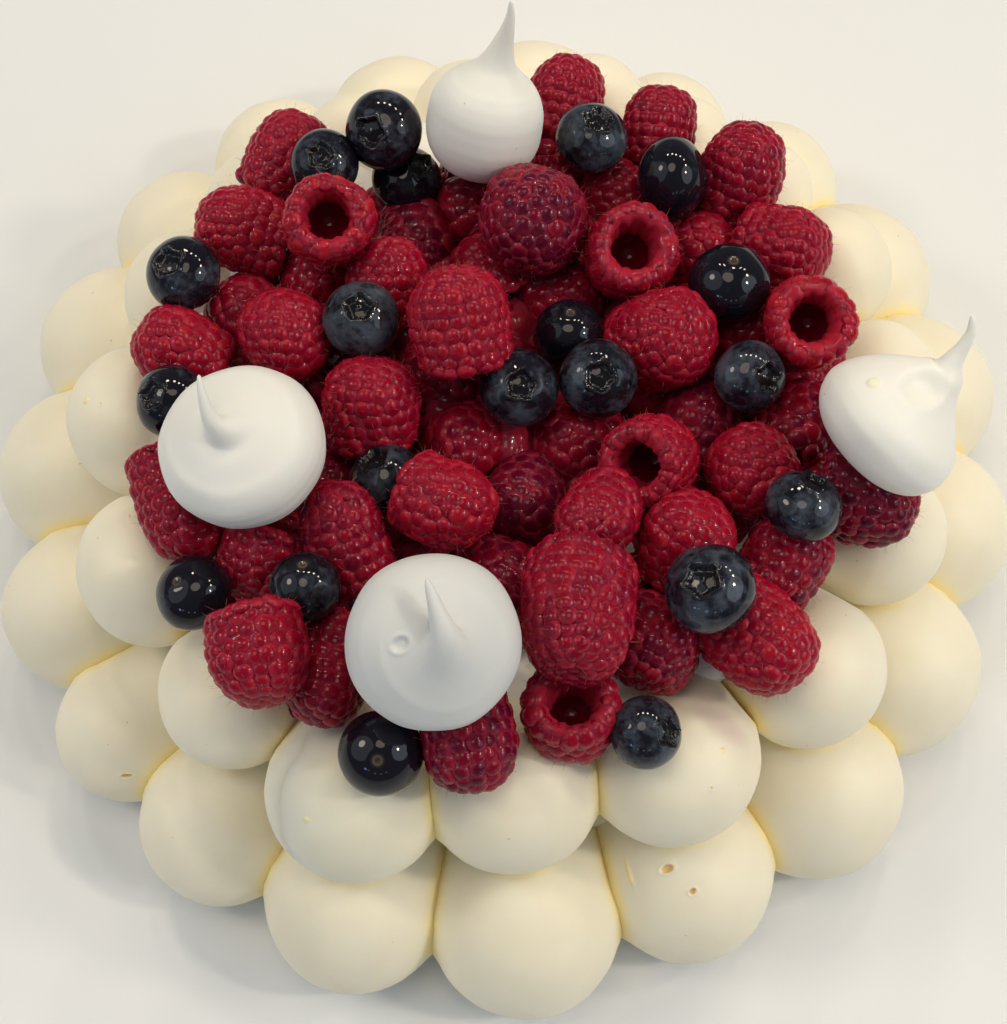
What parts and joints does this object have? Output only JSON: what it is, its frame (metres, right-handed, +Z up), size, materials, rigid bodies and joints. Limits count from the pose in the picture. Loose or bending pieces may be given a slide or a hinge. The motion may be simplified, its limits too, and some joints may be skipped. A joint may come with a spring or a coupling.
{
  "type": "pavlova",
  "caption": "Round two-tier pavlova of piped meringue domes, heaped with raspberries and blueberries and finished with small meringue kisses.",
  "frame": {"origin": "middle of the flat underside of the lower tier", "axes": "+Z up from the table, -Y towards the front, +X to the right seen from the front"},
  "size_m": [0.2229, 0.2331, 0.0998],
  "materials": {
    "meringue": "baked meringue, warm ivory and satin",
    "cream": "soft whipped cream, white",
    "berry_heap": "buried raspberries in shade, deep red",
    "raspberry": "fresh raspberry, moist red drupelets",
    "blueberry": "fresh blueberry, nearly black with grey bloom",
    "kiss_meringue": "dry white meringue"
  },
  "bodies": {
    "root": {"meringue": "meringue", "cream": "cream", "berry_heap": "berry_heap", "raspberry_01": "raspberry", "raspberry_02": "raspberry", "raspberry_03": "raspberry", "raspberry_04": "raspberry", "raspberry_05": "raspberry", "raspberry_06": "raspberry", "raspberry_07": "raspberry", "raspberry_08": "raspberry", "raspberry_09": "raspberry", "raspberry_10": "raspberry", "raspberry_11": "raspberry", "raspberry_12": "raspberry", "raspberry_13": "raspberry", "raspberry_14": "raspberry", "raspberry_15": "raspberry", "raspberry_16": "raspberry", "raspberry_17": "raspberry", "raspberry_18": "raspberry", "raspberry_19": "raspberry", "raspberry_20": "raspberry", "raspberry_21": "raspberry", "raspberry_22": "raspberry", "raspberry_23": "raspberry", "raspberry_24": "raspberry", "raspberry_25": "raspberry", "raspberry_26": "raspberry", "raspberry_27": "raspberry", "raspberry_28": "raspberry", "raspberry_29": "raspberry", "raspberry_30": "raspberry", "raspberry_31": "raspberry", "raspberry_32": "raspberry", "raspberry_33": "raspberry", "blueberry_01": "blueberry", "blueberry_02": "blueberry", "blueberry_03": "blueberry", "blueberry_04": "blueberry", "blueberry_05": "blueberry", "blueberry_06": "blueberry", "blueberry_07": "blueberry", "blueberry_08": "blueberry", "blueberry_09": "blueberry", "blueberry_10": "blueberry", "blueberry_11": "blueberry", "blueberry_12": "blueberry", "blueberry_13": "blueberry", "blueberry_14": "blueberry", "blueberry_15": "blueberry", "blueberry_16": "blueberry", "blueberry_17": "blueberry", "blueberry_18": "blueberry", "blueberry_19": "blueberry", "blueberry_20": "blueberry", "kiss_back": "kiss_meringue", "kiss_left": "kiss_meringue", "kiss_front": "kiss_meringue", "kiss_right": "kiss_meringue"}
  },
  "joints": []
}
